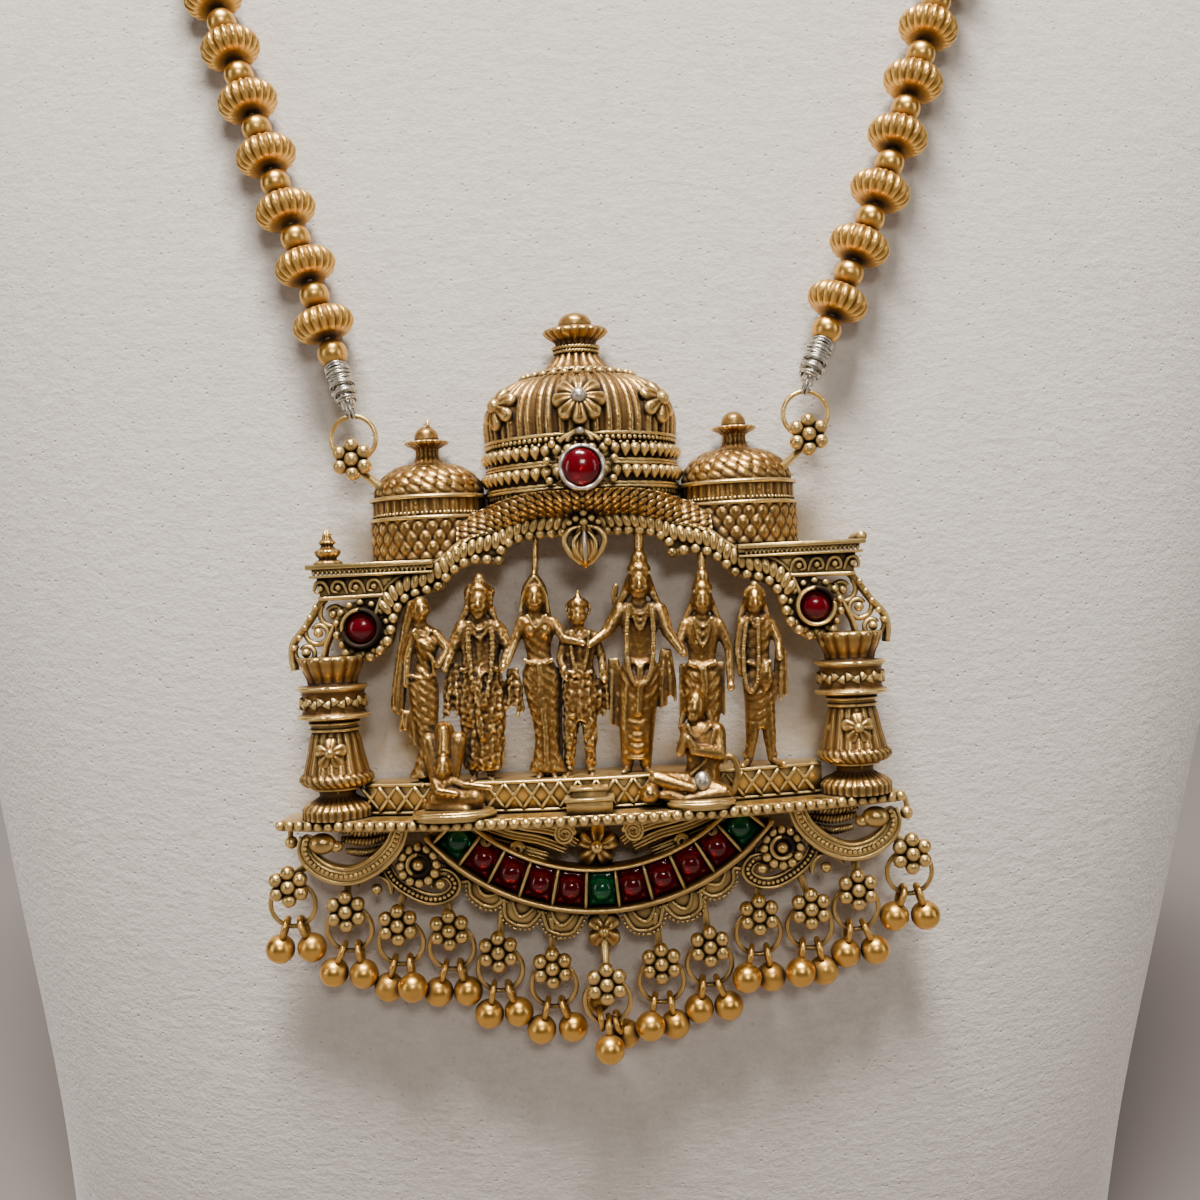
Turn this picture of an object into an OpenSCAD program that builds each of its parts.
// Temple necklace on its neck bust.
// The chest faces -Y and the bust stands on Z = 0.
// The pendant is drawn flat: X runs across it, Z up it, and -Y towards the viewer.
// Places on the pendant are given in 64ths of its width and 68ths of its height.

/* [Neck bust] */
// Height of the neck bust
bust_h = 280; // [265:1:300]
// Width of the bust across the shoulders
bust_w = 190; // [180:1:205]
// Depth of the bust
bust_d = 120; // [112:1:130]
// Thickness of the straight foot of the bust
bust_foot_t = 2; // [1:0.5:4]

/* [Pendant] */
// Width of the temple across its stage
temple_w = 64; // [60:0.5:68]
// Height of the temple from its fringe to its knob
temple_h = 68; // [64:0.5:72]
// Height of the pendant's middle above the table
pendant_z = 92; // [88:1:98]
// Roll of the pendant as it hangs, right side up
pendant_roll = 2.8; // [0:0.2:4]
// Gap between the pendant's back and the chest
seat_gap = 0.3; // [0.2:0.05:0.6]

/* [Stage] */
// Thickness of the stage
stage_t = 1.1; // [0.9:0.1:1.5]
// Depth of the stage at its middle
stage_mid_d = 12; // [11:0.5:13]
// Depth of the stage at its ends
stage_end_d = 5.5; // [5:0.5:7]
// Height of the plinth under the standing figures
plinth_h = 3.4; // [2.8:0.1:4]
// Thickness of the round slab under each kneeling figure
slab_t = 0.8; // [0.6:0.1:1]

/* [Architecture] */
// Distance from the pendant's back to the arch's front
arch_d = 5.6; // [5:0.1:6.5]
// Width of the beaded rim of the arch
arch_rim_w = 1.2; // [1:0.1:1.5]
// Radius of the widest turning of a pillar
pillar_r = 3.85; // [3.5:0.05:4.1]
// Distance from the pendant's back to a pillar's axis
pillar_axis_d = 5; // [4.8:0.1:5.4]
// Radius of the great dome at its widest beads
dome_r = 11.2; // [10.6:0.1:11.8]
// Radius of a small dome at its band
cupola_r = 6.45; // [6:0.05:6.8]
// Forward reach of a dome as a share of its radius
dome_flat = 0.8; // [0.7:0.05:0.9]
// Number of ribs over the great dome
dome_ribs = 14; // [10:2:18]
// Thickness of the scroll wires of the corner brackets
scroll_wire = 0.45; // [0.4:0.05:0.6]

/* [Stones] */
// Radius of the large round stone
ruby_r = 2; // [1.8:0.05:2.2]
// Radius of each small round stone
side_ruby_r = 1.65; // [1.5:0.05:1.8]
// Wall of a stone's setting
bezel_t = 0.3; // [0.25:0.05:0.4]
// Gap round each stone in its setting
stone_gap = 0.1; // [0.1:0.02:0.15]
// Angle of the crescent that its stones fill
crescent_span = 95; // [92:0.5:96]
// Length of each crescent stone's cell, from arc to arc
cell_l = 3.9; // [3.5:0.1:4.2]
// Wall between two cells of the crescent
cell_wall = 0.5; // [0.4:0.05:0.6]

/* [Drops] */
// Radius of a drop's ring to the middle of its wire
ring_r = 2.43; // [2.3:0.01:2.5]
// Radius of the wire of rings
ring_wire = 0.27; // [0.22:0.01:0.3]
// Radius of each small ball of a flower
petal_ball = 0.69; // [0.6:0.01:0.72]
// Radius of each hanging ball
drop_ball = 1.5; // [1.3:0.05:1.52]
// Radius of a ball's loop to the middle of its wire
loop_r = 1.05; // [1:0.01:1.1]
// Radius of the wire of a ball's loop
loop_wire = 0.33; // [0.28:0.01:0.35]
// Free play of each link on the one that it hangs on
link_play = 0.1; // [0.08:0.01:0.12]
// Distance from the pendant's back to the middle of the rings
ring_d = 1.9; // [1.8:0.1:2.2]
// Angle by which the drops swing back to the chest
drop_swing = 5; // [0:1:6]

/* [Bead strings] */
// Radius of a fluted bead
fluted_r = 3; // [2.7:0.05:3.2]
// Length of a fluted bead along the thread
fluted_l = 3.2; // [2.8:0.05:3.4]
// Radius of a round bead
bead_r = 1.65; // [1.5:0.01:1.7]
// Gap between two beads on the thread
bead_gap = 0.12; // [0.1:0.01:0.2]
// Radius of a bead's bore
bore_r = 0.5; // [0.4:0.05:0.6]
// Radius of the thread
thread_r = 0.25; // [0.2:0.01:0.3]
// Radius of the silver wire wrap at a string's end
wrap_r = 0.9; // [0.8:0.05:1]
// Length of a wire wrap above its loop
wrap_l = 3.2; // [2.8:0.1:3.5]
// Length of the clasp
clasp_l = 10; // [8:0.5:12]
// Radius of the clasp
clasp_r = 2.2; // [1.8:0.1:2.6]

/* [Hidden] */
stone_names = [for (i = [1 : 11]) str("crescent_stone_", i)];
drop_names = [for (i = [1 : 13]) str("drop_", i)];
gold = "goldenrod";
ruby = "crimson";
emerald = "seagreen";

// Fineness of the small cast forms, of turned forms and of the bust
limb_fn = 5;
tie_fn = 4;
turn_fn = 10;
bust_sides = 40;
bust_rings = 26;
round_fn = 16;
exact_fn = 24;

// Units of place on the pendant
cu = temple_w / 64;
cv = temple_h / 68;
stage_v = -17.4;
stage_top = stage_v * cv;
stage_under = stage_top - stage_t;
plinth_top = stage_top + plinth_h;

// Sections of the bust: height as a share of bust_h, half width as a share of
// half bust_w, front and back as shares of half bust_d, and squareness
bust_rows = [
    [0, 0.785, -0.933, 0.933, 3],
    [0.093, 0.792, -0.967, 0.95, 3],
    [0.207, 0.845, -0.933, 0.967, 2.9],
    [0.329, 0.915, -0.833, 0.983, 2.8],
    [0.45, 0.97, -0.692, 1, 2.7],
    [0.557, 1, -0.525, 1.017, 2.6],
    [0.643, 0.947, -0.375, 1.042, 2.4],
    [0.7, 0.8, -0.267, 1.067, 2.2],
    [0.75, 0.62, -0.192, 1.083, 2.05],
    [0.807, 0.52, -0.142, 1.1, 2],
    [0.893, 0.479, -0.117, 1.117, 2],
    [0.971, 0.474, -0.117, 1.117, 2],
    [1, 0.43, -0.05, 1.05, 2]];

// Route of each string past its wrap: angle round the bust from the front, and height
// as a share of bust_h
left_route = [[-14.5, 0.49], [-20.4, 0.571], [-29.3, 0.646], [-41, 0.694], [-60, 0.737],
    [-84, 0.766], [-110, 0.784], [-140, 0.794], [-165, 0.796], [-180, 0.796]];
right_route = [[13.3, 0.493], [18.4, 0.573], [26.8, 0.648], [38, 0.695], [57, 0.737],
    [82, 0.766], [110, 0.784], [140, 0.794], [165, 0.796], [180, 0.796]];

// Value of column c of the bust's table at height share h, on a smooth curve
function row_below(h, i = 0) = i + 2 < len(bust_rows) && h > bust_rows[i + 1][0]
    ? row_below(h, i + 1) : i;
function row_slope(j, c) = let(a = max(j - 1, 0), b = min(j + 1, len(bust_rows) - 1))
    (bust_rows[b][c] - bust_rows[a][c]) / (bust_rows[b][0] - bust_rows[a][0]);
function bust_value(h, c) = let(
        i = row_below(h),
        step = bust_rows[i + 1][0] - bust_rows[i][0],
        t = (h - bust_rows[i][0]) / step)
    (2 * pow(t, 3) - 3 * pow(t, 2) + 1) * bust_rows[i][c]
    + (pow(t, 3) - 2 * pow(t, 2) + t) * step * row_slope(i, c)
    + (3 * pow(t, 2) - 2 * pow(t, 3)) * bust_rows[i + 1][c]
    + (pow(t, 3) - pow(t, 2)) * step * row_slope(i + 1, c);
function signed_pow(x, p) = sign(x) * pow(abs(x), p);

// Point on the bust's skin at an angle from the front and a height share
function skin(angle, h) = let(
        half = bust_value(h, 1) * bust_w / 2,
        front = bust_value(h, 2) * bust_d / 2,
        back = bust_value(h, 3) * bust_d / 2,
        p = 2 / bust_value(h, 4))
    [half * signed_pow(sin(angle), p),
     (front + back) / 2 - (back - front) / 2 * signed_pow(cos(angle), p),
     h * bust_h];
function unit(v) = v / norm(v);
function skin_normal(angle, h) = unit(cross(
    skin(angle + 1, h) - skin(angle - 1, h), skin(angle, h + 0.004) - skin(angle, h - 0.004)));
function off_skin(angle, h, gap) = skin(angle, h) + gap * skin_normal(angle, h);
// Angle at which the skin lies x to the side at a height share
function angle_at(x, h) = sign(x) * asin(pow(abs(x) / (bust_value(h, 1) * bust_w / 2),
    bust_value(h, 4) / 2));

// The pendant's seat on the chest and its tilt, from the chest's slope there
seat_h = pendant_z / bust_h;
seat_lift = skin(0, seat_h + 0.02) - skin(0, seat_h - 0.02);
tilt = atan(seat_lift[1] / seat_lift[2]);
seat = skin(0, seat_h) + seat_gap * [0, -cos(tilt), sin(tilt)];
module on_chest() {
    translate(seat) rotate([-tilt, 0, 0]) rotate([0, -pendant_roll, 0]) children();
}
// A point of the pendant, given as across, depth and up, in the bust's frame
function on_bust(p) = let(
        x = p[0] * cos(pendant_roll) - p[2] * sin(pendant_roll),
        z = p[0] * sin(pendant_roll) + p[2] * cos(pendant_roll))
    seat + [x, -p[1] * cos(tilt) + z * sin(tilt), p[1] * sin(tilt) + z * cos(tilt)];

// Skin between rings of points, each with as many points as the others
module loft(rings) {
    n = len(rings[0]);
    last = len(rings) - 1;
    sides = [for (i = [0 : last - 1], j = [0 : n - 1]) let(
            a = i * n + j, b = i * n + (j + 1) % n, c = b + n, d = a + n)
        each [[a, c, b], [a, d, c]]];
    polyhedron([for (ring = rings) each ring],
        concat(sides, [[for (j = [0 : n - 1]) j], [for (j = [n - 1 : -1 : 0]) last * n + j]]),
        convexity = 6);
}

// Helpers of the pendant: a flat shape given a back and a front depth, and a table place
module relief(depths) {
    rotate([90, 0, 0]) translate([0, 0, depths[0]]) linear_extrude(depths[1] - depths[0]) children();
}
module place(p, depth = 0) {
    translate([p[0] * cu, -depth, p[1] * cv]) children();
}
module both_sides() {
    children();
    mirror([1, 0, 0]) children();
}
function scaled(points) = [for (p = points) [p[0] * cu, p[1] * cv]];
// A band of even width along a line of table places
module ribbon(points, width) {
    line = scaled(points);
    last = len(line) - 1;
    side = [for (i = [0 : last]) let(
            d = unit(line[min(i + 1, last)] - line[max(i - 1, 0)]))
        [-d[1], d[0]] * width / 2];
    polygon(concat([for (i = [0 : last]) line[i] + side[i]],
        [for (i = [last : -1 : 0]) line[i] - side[i]]));
}
// A limb between two points, thinning from one radius to the other
module limb(a, b, ra, rb, fn = limb_fn) {
    hull() {
        translate(a) sphere(ra, $fn = fn);
        translate(b) sphere(rb, $fn = fn);
    }
}
// A half-turned form from rows of radius and height shares, flat at its back
module half_turned(rows, r, flat, sides, ribs = 0, rib = 0) {
    loft([for (row = rows) [for (i = [0 : sides]) let(
            a = -90 + 180 * i / sides,
            rr = row[0] * r + (ribs > 0 ? rib * (i % 2 == 0 ? -1 : 1) * 0.5 : 0))
        [rr * sin(a), -rr * cos(a) * flat, row[1] * cv]]]);
}
module turned(rows, r, sides) {
    loft([for (row = rows) [for (i = [0 : sides - 1]) let(a = -360 * i / sides)
        [row[0] * r * cos(a), -row[0] * r * sin(a), row[1] * cv]]]);
}

// Turned outlines: radius as a share of the form's widest, height in 68ths of temple_h
dome_foot_rows = [[0.92, 15.2], [0.92, 16.7], [0.98, 17.2], [0.98, 18], [0.91, 18.8],
    [1, 19.7], [1, 20.5], [0.92, 21], [0.9, 22]];
dome_cap_rows = [[0.91, 21.7], [0.925, 24], [0.87, 25.9], [0.76, 27.5], [0.58, 28.8]];
dome_finial_rows = [[0.56, 28.5], [0.42, 29.2], [0.31, 29.8], [0.2, 30.4], [0.19, 31.6],
    [0.3, 33], [0.24, 33.5], [0.135, 34], [0.13, 35], [0.03, 35.9]];
cupola_rows = [[0.96, 9.6], [0.96, 13.9], [1, 14.3], [0.95, 14.8], [0.95, 15.8],
    [1, 16.35], [0.87, 16.8], [0.85, 17.7], [0.75, 18.8], [0.53, 19.7], [0.19, 20.5],
    [0.17, 21.5], [0.37, 22.4], [0.21, 23], [0.2, 24.2], [0.05, 25]];
pillar_rows = [[0.96, -17.4], [0.95, -16.7], [0.52, -15.4], [0.5, -14.4], [1, -13.7],
    [1, -13.1], [0.87, -12.6], [0.62, -8.3], [0.61, -7.1], [0.94, -6.6], [0.96, -4.1],
    [0.62, -3.5], [0.86, -1.2], [0.88, -0.4]];

// Back and front depths of the cast reliefs
arch_back_d = 1.3;
shelf_depths = [0.6, 6.4];
frieze_depths = [1, 5.4];
bracket_depths = [3, 4.8];
curl_depths = [1.6, 4.6];
leaf_depths = [1.6, 3.1];
tie_depths = [1.6, 3];
crescent_depths = [1.4, 4.8];

// Lower edge of the left half of the arch, from the corner stone to the middle
arch_edge = [[-24.5, 0.25], [-22.2, 0.2], [-21.1, 1.6], [-20.6, 3.5], [-19.9, 4.9],
    [-18.2, 6.2], [-15.6, 6.5], [-14.9, 7.8], [-13, 9.2], [-9.4, 9.3], [-8.7, 10.7],
    [-6.5, 11.6], [-3, 11.7], [0, 11.7]];
arch_back = [[0, 17], [-11, 17], [-12, 11.5], [-16, 9.4], [-22, 7.4], [-24.2, 5]];
corner_stone = [-24.15, 2.6];
cupola_u = 16.9;
pillar_u = 27.6;

// Rim in front of the arch, and the lotus bud that hangs from its middle
rim_rise = 0.7;
bud_r = 1.4;
bud_l = 3.6;
module arch() {
    both_sides() {
        relief([arch_back_d, arch_d]) polygon(scaled(concat(arch_edge, arch_back)));
        relief([arch_d - 0.5, arch_d + rim_rise]) ribbon(arch_edge, arch_rim_w);
    }
    place([0, 12], arch_d - 0.6) {
        limb([0, 0, 0], [0, 0, -bud_l * 0.55], bud_r * 0.57, bud_r);
        limb([0, 0, -bud_l * 0.55], [0, 0, -bud_l], bud_r, bud_r * 0.2);
    }
}

// Settings of the round stones: a collar, and a bezel that stands round the stone
collar_w = 1.3;
bezel_rise = 0.8;
stone_sink = 0.5;
module setting(r, collar, back, front) {
    relief([back, front]) circle(collar, $fn = round_fn);
    relief([front - stone_sink, front + bezel_rise])
        circle((r + stone_gap + bezel_t) / cos(180 / round_fn), $fn = round_fn);
}
module stone_hole(r, front) {
    relief([front - stone_sink, front + bezel_rise * 4])
        circle((r + stone_gap) / cos(180 / round_fn), $fn = round_fn);
}

module great_dome() {
    half_turned(dome_foot_rows, dome_r, dome_flat, turn_fn);
    half_turned(dome_cap_rows, dome_r, dome_flat, dome_ribs * 2, dome_ribs, 0.5);
    half_turned(dome_finial_rows, dome_r, dome_flat, turn_fn - 2);
}

// Flower with round petals, standing on the depth that it is given
module cast_flower(petals, r, thick) {
    relief([0, thick]) polygon([for (i = [0 : 2 * petals - 1]) let(a = 180 * i / petals)
        r * (i % 2 == 0 ? 1 : 0.62) * [cos(a), sin(a)]]);
    translate([0, -thick, 0]) sphere(r * 0.33, $fn = limb_fn);
}

ruby_at = [0, 18.15];
ruby_front = dome_r * dome_flat + 0.4;
module dome_flowers() {
    place([0, 25.7], dome_r * dome_flat * 0.84) cast_flower(8, 2.6, 0.6);
    for (side = [-1, 1]) place([side * 8.4, 25.7], dome_r * dome_flat * 0.42)
        rotate([0, 0, side * 52]) cast_flower(6, 2, 0.6);
}

module cupolas() {
    for (side = [-1, 1]) place([side * cupola_u, 0], 0)
        half_turned(cupola_rows, cupola_r, dome_flat, turn_fn);
}

// Shelves over the corners, with a frieze under each
shelf_middle = (shelf_depths[0] + shelf_depths[1]) / 2;
module shelves() {
    for (side = [-1, 1]) {
        relief(shelf_depths) polygon(scaled([[side * 29.4, 9.5], [side * 29, 8], [side * 21, 8],
            [side * 16, 8.4], [side * 16, 9.5]]));
        relief(frieze_depths) polygon(scaled([[side * 28.6, 8.2], [side * 28.4, 6], [side * 21.2, 6.5],
            [side * 20.5, 8.2]]));
    }
    // The small urn on the left shelf, and the rolled end of the right one
    place([-27.6, 9.3], shelf_middle) limb([0, 0, 0], [0, 0, 3 * cv], 1.2, 0.8);
    place([29, 9.6]) relief(shelf_depths) circle(0.5, $fn = limb_fn);
}

// Pierced corner brackets of three wire scrolls within an outer wire
module brackets() {
    both_sides() relief(bracket_depths) {
        for (c = [[-27.2, 4.3, 1.5], [-28.9, 2.3, 1.5], [-30.2, 0.2, 1.3]])
            translate([c[0] * cu, c[1] * cv]) difference() {
                circle(c[2], $fn = turn_fn - 2);
                circle(c[2] - scroll_wire, $fn = turn_fn - 2);
            }
        ribbon([[-28.3, 5.9], [-29.8, 3.8], [-31.3, 1.9], [-31.8, 0.4], [-31.7, -1.4]], 0.8);
        ribbon([[-26.2, 4.6], [-27.3, 2.2], [-27.9, -0.6]], 0.7);
    }
}

module pillars() {
    for (side = [-1, 1]) place([side * pillar_u, 0], pillar_axis_d) {
        turned(pillar_rows, pillar_r, turn_fn);
        place([0, -10.3], pillar_r * 0.62) cast_flower(5, 1.5, 0.5);
    }
}

// The bow-fronted stage: depth at a share of its half width
function bow(s) = stage_end_d + (stage_mid_d - stage_end_d) * (1 - s * s);
stage_ends = [-33.7, 32.1];
module bowed(left, right, depth_of, steps) {
    polygon(concat([[left, -0.1], [right, -0.1]],
        [for (i = [steps : -1 : 0]) let(s = -1 + 2 * i / steps)
            [left + (right - left) * i / steps, -depth_of(s)]]));
}
module stage() {
    left = stage_ends[0] * cu;
    right = stage_ends[1] * cu;
    translate([0, 0, stage_under]) linear_extrude(stage_t)
        bowed(left, right, function(s) bow(s), 16);
    translate([0, 0, stage_top - 0.1]) linear_extrude(plinth_h + 0.1)
        bowed(-24.6 * cu, 24 * cu, function(s) bow(s) - 3.5, 10);
    // Two steps in front of the plinth, and a slab under each kneeling figure
    translate([-3 * cu, -stage_mid_d + 0.4, stage_top - 0.1]) cube([4.6 * cu, 3.4, 1.7]);
    translate([-2 * cu, -stage_mid_d + 1.2, stage_top - 0.1]) cube([2.8 * cu, 2.6, 2.5]);
    for (p = [[-14.7, 4], [10.7, 3.3]]) place([p[0], 0], bow(p[0] / 33) - 1)
        translate([0, 0, stage_top - 0.1]) scale([1, 0.6, 1])
            cylinder(slab_t + 0.1, r = p[1], $fn = turn_fn + 2);
}

// Standing figures. Each row: middle of the head, its radius, how far the headdress
// rises over it, middle and half width of the shoulders, half width of the waist,
// middle and half width of the hem, left elbow and hand, right elbow and hand
standing = [
    [[-18.7, 4.1], 0.9, 1.3, [-18, 1.2], 1.7, 1.1, -18.9, 1.5,
        [-20.3, -1.6], [-20.2, -5], [-15.9, 0.2], [-14.6, -1]],
    [[-11.5, 5.3], 1.05, 2.2, [-11.4, 2.3], 2.7, 1.6, -11.3, 2.9,
        [-14.6, -0.2], [-14.6, -1.6], [-8, 0], [-8.3, -3.5]],
    [[-5.6, 4.5], 0.95, 2, [-5.2, 1.4], 2.1, 1.2, -5.1, 2.2,
        [-7.9, -0.4], [-8.6, -2.8], [-3, -0.3], [-1, -0.6]],
    [[-1, 3.5], 0.9, 2.6, [-0.8, 0.8], 1.9, 1.3, -1, 1.9,
        [-2.8, -1.4], [-2.2, -3.2], [1.2, -1.6], [0.6, -4]],
    [[5.3, 6.2], 1.15, 4, [5.4, 3], 2.7, 1.6, 5, 2.6,
        [2.6, 0.6], [-0.2, -0.4], [8.6, 0.4], [9.7, -2.6]],
    [[12.3, 3.8], 1, 3.8, [12.5, 0.9], 2.4, 1.5, 12.3, 2.1,
        [9.8, -1.4], [8.9, -1.8], [15.2, -1.8], [15.2, -5.2]],
    [[18, 3.3], 0.9, 1.7, [18.4, 0], 1.9, 1.3, 18.6, 1.6,
        [16.4, -2.6], [16, -4.6], [20.7, -1], [21, -2.6]]];
figure_d = 5.6;
hip_v = -5.5;
function at(p, depth) = [p[0] * cu, -depth, p[1] * cv];
module standing_figure(row) {
    head = row[0];
    shoulder = row[3];
    hip = [(shoulder[0] + row[6]) / 2, hip_v];
    thick = row[4] * 0.55;
    // Head and tapering headdress
    limb(at(head, figure_d), at(head + [0, row[2]], figure_d), row[1], 0.35, limb_fn + 1);
    limb(at(head, figure_d), at(shoulder, figure_d), row[1] * 0.6, 0.6, tie_fn);
    // Trunk, and the dress down to its hem
    hull() {
        for (s = [-1, 1]) translate(at(shoulder + [s * (row[4] - 0.6), -0.4], figure_d))
            sphere(0.8, $fn = tie_fn);
        translate(at([hip[0], -2.2], figure_d)) sphere(row[5], $fn = limb_fn);
    }
    hull() {
        translate(at([hip[0], -2.2], figure_d)) sphere(row[5], $fn = limb_fn);
        translate(at(hip, figure_d)) scale([1, 0.7, 1]) sphere(row[5] * 1.35, $fn = limb_fn + 1);
        translate([row[6] * cu, -figure_d, plinth_top - 0.3]) scale([1, thick / row[7], 1])
            cylinder(1, r = row[7], $fn = limb_fn + 2);
    }
    // Arms
    for (k = [[-1, 8, 9], [1, 10, 11]]) {
        top = shoulder + [k[0] * (row[4] - 0.5), -0.3];
        limb(at(top, figure_d), at(row[k[1]], figure_d + 0.4), 0.8, 0.6, tie_fn);
        limb(at(row[k[1]], figure_d + 0.4), at(row[k[2]], figure_d + 1), 0.6, 0.5, tie_fn);
    }
}
// Rods and headdress tips that tie the figures to the arch
head_ties = [[-18.6, 4.8, 6.4], [-11.6, 6.8, 9.6], [-5.8, 6, 12], [5.4, 9.8, 12],
    [12.4, 7, 9.6], [18.1, 4.6, 6.4]];
module head_rods() {
    for (t = head_ties)
        limb(at([t[0], t[1]], figure_d - 0.6), at([t[0], t[2]], figure_d - 1.4), 0.5, 0.6, tie_fn);
}

module kneeling_figure(u, v, side, d) {
    hip = [u - side * 0.6, stage_top / cv + 1.9];
    knee = [u + side * 3, stage_top / cv + 1.6];
    translate(at([u, v], d)) sphere(1, $fn = limb_fn + 1);
    limb(at([u, v], d), at([u, v + 1.2], d), 0.9, 0.4, tie_fn);
    limb(at([u, v - 0.8], d), at([u - side * 0.2, v - 1.8], d), 1, 1.2, tie_fn);
    limb(at([u - side * 0.2, v - 1.8], d), at(hip, d), 1.2, 1.5);
    limb(at(hip, d), at(knee, d + 0.6), 1.3, 0.8);
    limb(at(knee, d + 0.6), at([u - side * 1.4, stage_top / cv + 0.6], d + 0.4), 0.7, 0.6, tie_fn);
    limb(at([u + side * 0.7, v - 1.6], d + 0.8), at([u + side * 2, v - 2.6], d + 1.2), 0.6, 0.5, tie_fn);
    limb(at([u + side * 2, v - 2.6], d + 1.2), at([u + side * 3.4, v - 1.8], d + 1), 0.5, 0.45, tie_fn);
}
module kneeling_figures() {
    kneeling_figure(-15.4, -12.2, 1, 8.6);
    kneeling_figure(10.6, -7.6, -1, 8.8);
    // The hood behind the left one
    for (p = [[-16.9, -9.5], [-15.2, -8], [-13.5, -9.5]])
        limb(at([-15.2, -16], 7), at(p, 6.4), 0.9, 0.9, tie_fn);
    // The mace and the raised tail of the right one
    translate(at([6.2, -16], 10)) sphere(1, $fn = limb_fn);
    limb(at([6.2, -16], 10), at([11, -16.4], 10), 0.4, 0.4, tie_fn);
    limb(at([13, -17.8], 8.4), at([14.6, -15.4], 8.4), 0.55, 0.5, tie_fn);
    limb(at([14.6, -15.4], 8.4), at([14.2, -12.6], 8.4), 0.5, 0.35, tie_fn);
}

// All that hangs under the stage keeps its shape and follows the stage when the height changes
function low(p) = [p[0], stage_v + (p[1] - stage_v) * cu / cv];
module low_ribbon(line, width) {
    ribbon([for (p = line) low(p)], width);
}

// Crescent of cells under the stage: circles through its lower and upper edges
crescent_mid = [0, -4.5];
crescent_r = 24.6;
crescent_inner_mid = [0, -0.6];
crescent_inner_r = 23.6;
cell_r = 22.1;
crescent_stones = 11;
cell_pitch = crescent_span / crescent_stones;
cell_floor = 3.2;
module crescent_plan() {
    difference() {
        translate(scaled([low(crescent_mid)])[0]) circle(crescent_r * cu, $fn = 60);
        translate(scaled([low(crescent_inner_mid)])[0]) circle(crescent_inner_r * cu, $fn = 60);
        translate([-40 * cu, stage_under + 0.1]) square([80 * cu, 60 * cv]);
    }
}
module cell_plan(gap) {
    inner = (cell_r * cu - cell_l / 2 + gap) * tan(cell_pitch / 2) - cell_wall / 2 - gap;
    outer = (cell_r * cu + cell_l / 2 - gap) * tan(cell_pitch / 2) - cell_wall / 2 - gap;
    far = -cell_r * cu - cell_l / 2 + gap;
    near = -cell_r * cu + cell_l / 2 - gap;
    polygon([[-outer, far], [outer, far], [inner, near], [-inner, near]]);
}
module at_cell(i) {
    place(low(crescent_mid)) rotate([0, -(i - (crescent_stones - 1) / 2) * cell_pitch, 0]) children();
}
module crescent() {
    difference() {
        relief(crescent_depths) crescent_plan();
        for (i = [0 : crescent_stones - 1]) at_cell(i)
            relief([cell_floor, crescent_depths[1] + 1]) cell_plan(0);
    }
}

// Cast ornament round the crescent
makara_line = [[-20.6, -18.4], [-21.6, -20.6], [-23.2, -22.6], [-25.2, -24], [-27.4, -24.4],
    [-29.6, -23.8], [-31, -22.6], [-31.6, -21.2], [-31.4, -19.8], [-30.4, -19.2]];
scroll_line = [[-23.2, -23], [-22.3, -24.8], [-20.8, -26.2], [-19, -27], [-17.4, -27],
    [-16.2, -26.4], [-15.9, -25.4], [-16.6, -24.6], [-17.5, -24.9]];
fringe = [[-14.2, -26.4], [-10.2, -28.7], [-5.4, -30]];
module apron() {
    both_sides() {
        relief(curl_depths) low_ribbon(makara_line, 1.5);
        relief(leaf_depths) {
            low_ribbon(scroll_line, 1.1);
            // Arms that fasten each rosette to the curls beside it
            low_ribbon([[-23, -22.4], [-19.6, -23], [-16.8, -22.2]], 1.6);
            // Feathers within the curl
            low_ribbon([[-22, -19.4], [-24.4, -20.6], [-26.8, -20.4]], 0.8);
            low_ribbon([[-23, -20.8], [-24.6, -22], [-26.6, -22], [-27.4, -23.8]], 0.8);
            low_ribbon([[-26.8, -20.6], [-26.2, -17.6]], 0.8);
            // Trunk, tassel and ball fleur
            low_ribbon([[-29, -20.2], [-30.8, -19.6]], 1.4);
            low_ribbon([[-31.2, -21], [-32.8, -20.2], [-32.6, -18]], 0.7);
            low_ribbon([[-24.2, -26.6], [-23.8, -24], [-22.6, -24.8]], 0.9);
            // Leaves and scrolls between the stage and the crescent
            low_ribbon([[-2.2, -22], [-5.2, -20.4], [-9.2, -19.8], [-12.4, -18.2]], 1);
            low_ribbon([[-4.6, -18.2], [-7.2, -21.4], [-9.8, -22.2]], 0.9);
            low_ribbon([[-2, -19.6], [-3.8, -19.6], [-4.6, -21], [-3.4, -22.2], [-2.6, -21.4]], 0.8);
            // Scalloped fringe
            for (p = fringe) translate([p[0] * cu, low(p)[1] * cv])
                rotate(atan(p[0] / (crescent_r - 3))) scale([1, 0.55]) circle(2.7, $fn = turn_fn);
        }
        place(low([-19.7, -23.1]), leaf_depths[0]) cast_flower(8, 2.6, 2.2);
        for (p = [[-29.2, -20.2, 1.3], [-24.2, -26.4, 0.9], [-32.8, -20.2, 0.75]])
            place(low(p), tie_depths[1]) sphere(p[2], $fn = limb_fn);
    }
    relief(tie_depths) {
        low_ribbon([[0, -18], [0, -25]], 1.4);
        low_ribbon([[0, -28.4], [0, -32.4]], 1.4);
    }
    place(low([0, -21.6]), leaf_depths[0]) cast_flower(5, 2.4, 2.8);
    place(low([0, -31]), leaf_depths[0]) rotate([0, 45, 0]) cast_flower(4, 2.2, 1.6);
}

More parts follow.
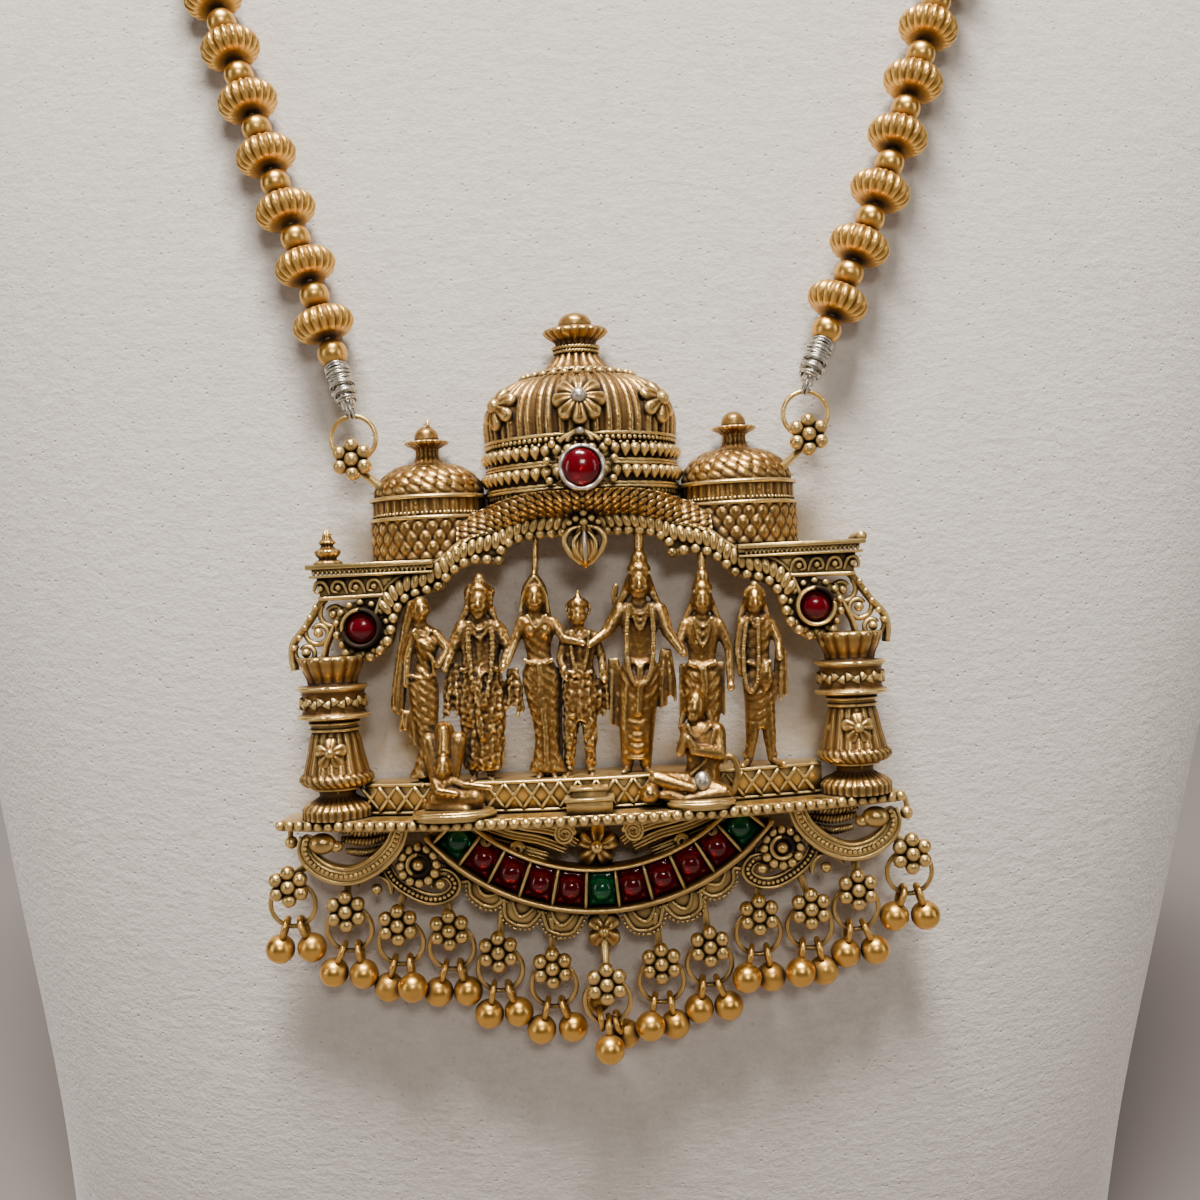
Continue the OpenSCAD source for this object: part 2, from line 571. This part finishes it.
// The drops along the lower edge. Each row: middle of the ring, where its eyelet is
// fastened to the frame, how far it stands forward of the others, and for each ball its
// place on the ring as a share of loop_side, how far it leans out and how far it swings
// back, in degrees
drop_rows = [
    [[-33.65, -27.1], [-31.6, -22.8], 0, [[-1, -17, 0], [1, 18, 0]]],
    [[-27.6, -30.05], [-27.6, -24.8], 0, [[-1, -24, 0], [1, 8, -8]]],
    [[-22.1, -31.8], [-21.4, -26], 0, [[-1, -15, 0], [1, 6, -34]]],
    [[-16.6, -32.6], [-17, -27.2], 0, [[-1, -17, 0], [1, 12, 0]]],
    [[-11.45, -35.2], [-10.8, -28.6], 0, [[-1, -12, 0], [1, 18, 0]]],
    [[-5.7, -37.2], [-5.6, -30], 0, [[-1, -15, 0], [1, 20, 0]]],
    [[0.05, -38.7], [0, -32], 1.8, [[0, 0, -24], [1, 18, 36], [-0.9, -8, 132]]],
    [[6, -37.3], [5.6, -30], 0, [[-1, -12, -36], [1, 8, 0]]],
    [[11.3, -35.7], [10.8, -28.6], 0, [[-1, -9, 0], [1, 21, 0]]],
    [[16.75, -32.6], [17, -27.2], 0, [[-1, -14, -34], [1, 7, 0]]],
    [[22.35, -32.2], [21.4, -26], 0, [[-1, -9, -32], [1, 10, 0]]],
    [[27.5, -30.4], [27.6, -24.8], 0, [[-1, -8, 0], [1, 22, 0]]],
    [[33.5, -26.8], [31.6, -22.8], 0, [[-1, -19, 0], [1, 15, 0]]]];
eyelet_wire = 0.22;
eyelet_r = ring_wire + link_play * 2 + eyelet_wire;
module torus(r, wire, fn = exact_fn) {
    rotate_extrude($fn = fn) translate([r, 0]) circle(wire, $fn = fn);
}
module eyelet(top) {
    translate(top) rotate([0, 90, 0]) rotate_extrude($fn = limb_fn + 1)
        translate([eyelet_r, 0]) circle(eyelet_wire, $fn = tie_fn);
}
function ring_top(row) = [row[0][0] * cu, -ring_d - row[2], low(row[0])[1] * cv + ring_r];
module drop_eyelets() {
    for (row = drop_rows) {
        eyelet(ring_top(row));
        limb(ring_top(row) + [0, 0, eyelet_r], at(low(row[1]), tie_depths[0] + 0.5), 0.4, 0.5, tie_fn);
    }
}

// The links that join the temple to the two strings: middle of each ring
link_rows = [[-24.5, 23.1], [24.5, 23.4]];
link_d = 2.4;
function link_bottom(i) = [link_rows[i][0] * cu, -link_d, link_rows[i][1] * cv - ring_r];
function link_top(i) = [link_rows[i][0] * cu, -link_d, link_rows[i][1] * cv + ring_r];
module link_eyelets() {
    for (i = [0, 1]) {
        eyelet(link_bottom(i));
        limb(link_bottom(i) - [0, 0, eyelet_r], at([sign(link_rows[i][0]) * 21.6, 17.6], link_d - 0.4),
            0.45, 0.65, tie_fn);
    }
}

module casting() {
    difference() {
        union() {
            arch();
            great_dome();
            cupolas();
            shelves();
            dome_flowers();
            place(ruby_at) setting(ruby_r, ruby_r * 1.65, dome_r * dome_flat * 0.8, ruby_front);
            for (side = [-1, 1]) place([side * corner_stone[0], corner_stone[1]])
                setting(side_ruby_r, side_ruby_r + collar_w, arch_back_d, arch_d);
        }
        place(ruby_at) stone_hole(ruby_r, ruby_front);
        for (side = [-1, 1]) place([side * corner_stone[0], corner_stone[1]])
            stone_hole(side_ruby_r, arch_d);
    }
    brackets();
    pillars();
    stage();
    for (row = standing) standing_figure(row);
    head_rods();
    kneeling_figures();
    crescent();
    apron();
    drop_eyelets();
    link_eyelets();
}
module temple_frame() {
    color(gold) on_chest() casting();
}

// Round stones: a straight girdle under a domed top
girdle = 0.7;
module round_stone(r, front, rise) {
    floor_d = front - stone_sink + stone_gap;
    crown = rise - girdle;
    ball = (pow(r, 2) + pow(crown, 2)) / (2 * crown);
    relief([floor_d, floor_d + girdle]) circle(r, $fn = exact_fn);
    intersection() {
        translate([0, ball - floor_d - rise, 0]) sphere(ball, $fn = exact_fn);
        relief([floor_d + girdle / 2, floor_d + rise]) circle(r, $fn = exact_fn);
    }
}
module ruby_middle() {
    color(ruby) on_chest() place(ruby_at) round_stone(ruby_r, ruby_front, 1.7);
}
module side_ruby(side) {
    color(ruby) on_chest() place([side * corner_stone[0], corner_stone[1]])
        round_stone(side_ruby_r, arch_d, 1.6);
}
// A crescent stone fills its cell, rises to a low dome and stays clear of the stage
stone_rise = 2;
module crescent_stone(i) {
    color((i == 0 || i == (crescent_stones - 1) / 2 || i == crescent_stones - 1) ? emerald : ruby)
        on_chest() difference() {
            at_cell(i) intersection() {
                relief([cell_floor + stone_gap, cell_floor + stone_rise]) cell_plan(stone_gap);
                translate([0, -cell_floor, -cell_r * cu])
                    sphere(stone_rise + 0.3, $fn = exact_fn * 2);
            }
            translate([-temple_w / 2, -stage_mid_d, stage_under - stone_gap])
                cube([temple_w, stage_mid_d, cell_l]);
        }
}

// Flower of seven balls on a plate, soldered to its ring at both sides of the eyelet
petal_circle = petal_ball * 2.17;
plate_gap = 0.15;
plate_t = 0.5;
plate_back = eyelet_r + eyelet_wire + plate_gap;
post_side = petal_circle * 0.92;
post_drop = ring_r - sqrt(pow(ring_r, 2) - pow(post_side, 2));
// The ring hangs from the origin, which is the middle of its wire at the eyelet
module flower_ring(side) {
    translate([0, 0, -side * ring_r]) rotate([90, 0, 0]) torus(ring_r, ring_wire);
    translate([0, -plate_back, 0]) rotate([90, 0, 0]) {
        cylinder(plate_t, r = petal_circle, $fn = exact_fn);
        for (i = [0 : 5]) rotate(60 * i + 30) translate([petal_circle, 0, plate_t])
            sphere(petal_ball, $fn = exact_fn);
        translate([0, 0, plate_t * 1.4]) sphere(petal_ball, $fn = exact_fn);
    }
    for (s = [-1, 1]) translate([s * post_side, 0, -side * post_drop]) rotate([90, 0, 0])
        cylinder(plate_back + plate_t / 2, r = ring_wire * 1.1, $fn = exact_fn);
}
loop_drop = loop_r - loop_wire - ring_wire - link_play;
ball_drop = loop_drop + loop_r + drop_ball - loop_wire * 0.6;
loop_side = 0.9;
module ball_on_loop(lean, swing) {
    rotate([swing, 0, 0]) rotate([0, -lean, 0]) {
        translate([0, 0, -loop_drop]) rotate([0, 90, 0]) torus(loop_r, loop_wire);
        translate([0, 0, -ball_drop]) sphere(drop_ball, $fn = exact_fn);
    }
}
module drop(i) {
    row = drop_rows[i];
    color(gold) on_chest() translate(ring_top(row)) rotate([drop_swing, 0, 0]) {
        flower_ring(1);
        for (ball = row[3]) translate([ball[0] * loop_side, 0,
            -ring_r - sqrt(pow(ring_r, 2) - pow(ball[0] * loop_side, 2))])
            ball_on_loop(ball[1], ball[2]);
    }
}
module link(i) {
    color(gold) on_chest() translate(link_bottom(i)) flower_ring(-1);
}

// Strings: the wraps start in the links' rings and lead into the routes
function wrap_start(i) = on_bust([link_top(i)[0], -link_top(i)[1], link_top(i)[2]]);
function route_of(i) = i == 0 ? left_route : right_route;
bead_seat = fluted_r + seat_gap * 2.2;
// First point of the route: up the chest from the wrap's foot
wrap_rise = loop_r + wrap_l;
function first_stop(i) = let(
        foot = wrap_start(i), next = route_of(i)[0],
        goal = skin(next[0], next[1]),
        step = unit([goal[0] - foot[0], 0, goal[2] - foot[2]]) * wrap_rise,
        h = (foot[2] + step[2]) / bust_h)
    [angle_at(foot[0] + step[0], h), h];
function stops(i) = concat([first_stop(i)], route_of(i));
function stop(list, k) = k < 0 ? 2 * list[0] - list[1]
    : k >= len(list) ? 2 * list[len(list) - 1] - list[len(list) - 2] : list[k];
function between(list, x) = let(
        k = min(floor(x), len(list) - 2), t = x - k,
        a = stop(list, k - 1), b = stop(list, k), c = stop(list, k + 1), d = stop(list, k + 2))
    b + (c - a) * t / 2 + (2 * a - 5 * b + 4 * c - d) * t * t / 2
    + (3 * b - a - 3 * c + d) * t * t * t / 2;
route_steps = 120;
function route(i) = let(list = stops(i))
    [for (k = [0 : route_steps]) let(p = between(list, k * (len(list) - 1) / route_steps))
        off_skin(p[0], p[1], bead_seat)];
function lengths(path) = [for (k = 0, s = 0; k < len(path);
    k = k + 1, s = s + (k < len(path) ? norm(path[k] - path[k - 1]) : 0)) s];
routes = [route(0), route(1)];
runs = [lengths(routes[0]), lengths(routes[1])];
function along(i, s) = [for (axis = [0 : 2])
    lookup(s, [for (k = [0 : route_steps]) [runs[i][k], routes[i][k][axis]]])];
function heading(i, s) = unit(along(i, s + 0.5) - along(i, s - 0.5));
module facing_along(p, dir) {
    translate(p) rotate([0, acos(dir[2]), atan2(dir[1], dir[0])]) children();
}

// Half outline of a fluted bead: distance from its middle and radius, as shares
fluted_rows = [[-1, 0.33], [-0.84, 0.38], [-0.76, 0.66], [-0.36, 0.93], [0, 1],
    [0.36, 0.93], [0.76, 0.66], [0.84, 0.38], [1, 0.33]];
module fluted_bead() {
    rotate_extrude($fn = exact_fn) polygon(concat([[bore_r, -fluted_l / 2]],
        [for (row = fluted_rows) [row[1] * fluted_r, row[0] * fluted_l / 2]], [[bore_r, fluted_l / 2]]));
}
module round_bead() {
    difference() {
        sphere(bead_r, $fn = exact_fn);
        cylinder(bead_r * 3, r = bore_r, center = true, $fn = exact_fn);
    }
}
pair_l = fluted_l + 2 * bead_r + 2 * bead_gap;
function beaded_run(i) = runs[i][route_steps] - clasp_l / 2 - bead_gap * 3;
function pairs(i) = floor(beaded_run(i) / pair_l);
module bead_string(i) {
    pitch = beaded_run(i) / pairs(i);
    color(gold) for (k = [0 : pairs(i) - 1]) {
        round_at = k * pitch + bead_gap + bead_r;
        fluted_at = (k + 1) * pitch - fluted_l / 2;
        facing_along(along(i, round_at), heading(i, round_at)) round_bead();
        facing_along(along(i, fluted_at), heading(i, fluted_at)) fluted_bead();
    }
}
// Silver wire wraps: a loop round the link's ring, under a tube that takes the thread
wrap_wire = 0.25;
wrap_loop_r = ring_wire + link_play * 3.5 + wrap_wire;
wrap_loop_lift = link_play * 1.5;
function wrap_heading(i) = unit(routes[i][0] - wrap_start(i));
module wire_wrap(i) {
    dir = wrap_heading(i);
    span = norm(routes[i][0] - wrap_start(i));
    tube_foot = wrap_loop_lift + wrap_loop_r;
    color("silver") facing_along(wrap_start(i), dir) {
        translate([0, 0, wrap_loop_lift])
            rotate([90, 0, 90 - atan2(dir[1], dir[0])]) torus(wrap_loop_r, wrap_wire);
        difference() {
            translate([0, 0, tube_foot]) cylinder(span - tube_foot, r = wrap_r, $fn = exact_fn);
            translate([0, 0, span - thread_in * 1.2]) cylinder(wrap_l, r = bore_r, $fn = exact_fn);
        }
    }
}
// Threads: each starts in its wrap and ends in the clasp
thread_steps = 58;
thread_sides = 6;
thread_in = 1.2;
module thread(i) {
    last = runs[i][route_steps] - thread_in / 2;
    color("tan") loft([for (k = [0 : thread_steps]) let(
            s = -thread_in + k * (last + thread_in) / thread_steps,
            t = s < 0 ? wrap_heading(i) : heading(i, max(s, 0.5)),
            p = along(i, s) + min(s, 0) * t,
            side = unit(cross(t, [0, 1, 2])),
            up = cross(t, side))
        [for (j = [0 : thread_sides - 1]) p + thread_r * (cos(360 * j / thread_sides) * side
            + sin(360 * j / thread_sides) * up)]]);
}
module clasp() {
    color(gold) translate(routes[0][route_steps]) rotate([0, 90, 0]) difference() {
        cylinder(clasp_l, r = clasp_r, center = true, $fn = exact_fn);
        cylinder(clasp_l + 1, r = bore_r * 1.5, center = true, $fn = exact_fn);
    }
}

// The neck bust: a straight foot under one smooth form
module neck_bust() {
    color("gainsboro") {
        rings = [for (k = [0 : bust_rings]) let(h = k / bust_rings)
            [for (j = [0 : bust_sides - 1])
                skin(360 * j / bust_sides, h) + [0, 0, k == 0 ? bust_foot_t : 0]]];
        loft(rings);
        linear_extrude(bust_foot_t) polygon([for (p = rings[0]) [p[0], p[1]]]);
    }
}

neck_bust();
temple_frame();
ruby_middle();
side_ruby(1);  // ruby_left
side_ruby(-1);  // ruby_right
for (i = [0 : crescent_stones - 1]) crescent_stone(i);
for (i = [0 : len(drop_rows) - 1]) drop(i);
link(0);  // left_link
link(1);  // right_link
wire_wrap(0);  // left_wire_wrap
wire_wrap(1);  // right_wire_wrap
bead_string(0);  // left_bead_string
bead_string(1);  // right_bead_string
thread(0);  // left_thread
thread(1);  // right_thread
clasp();
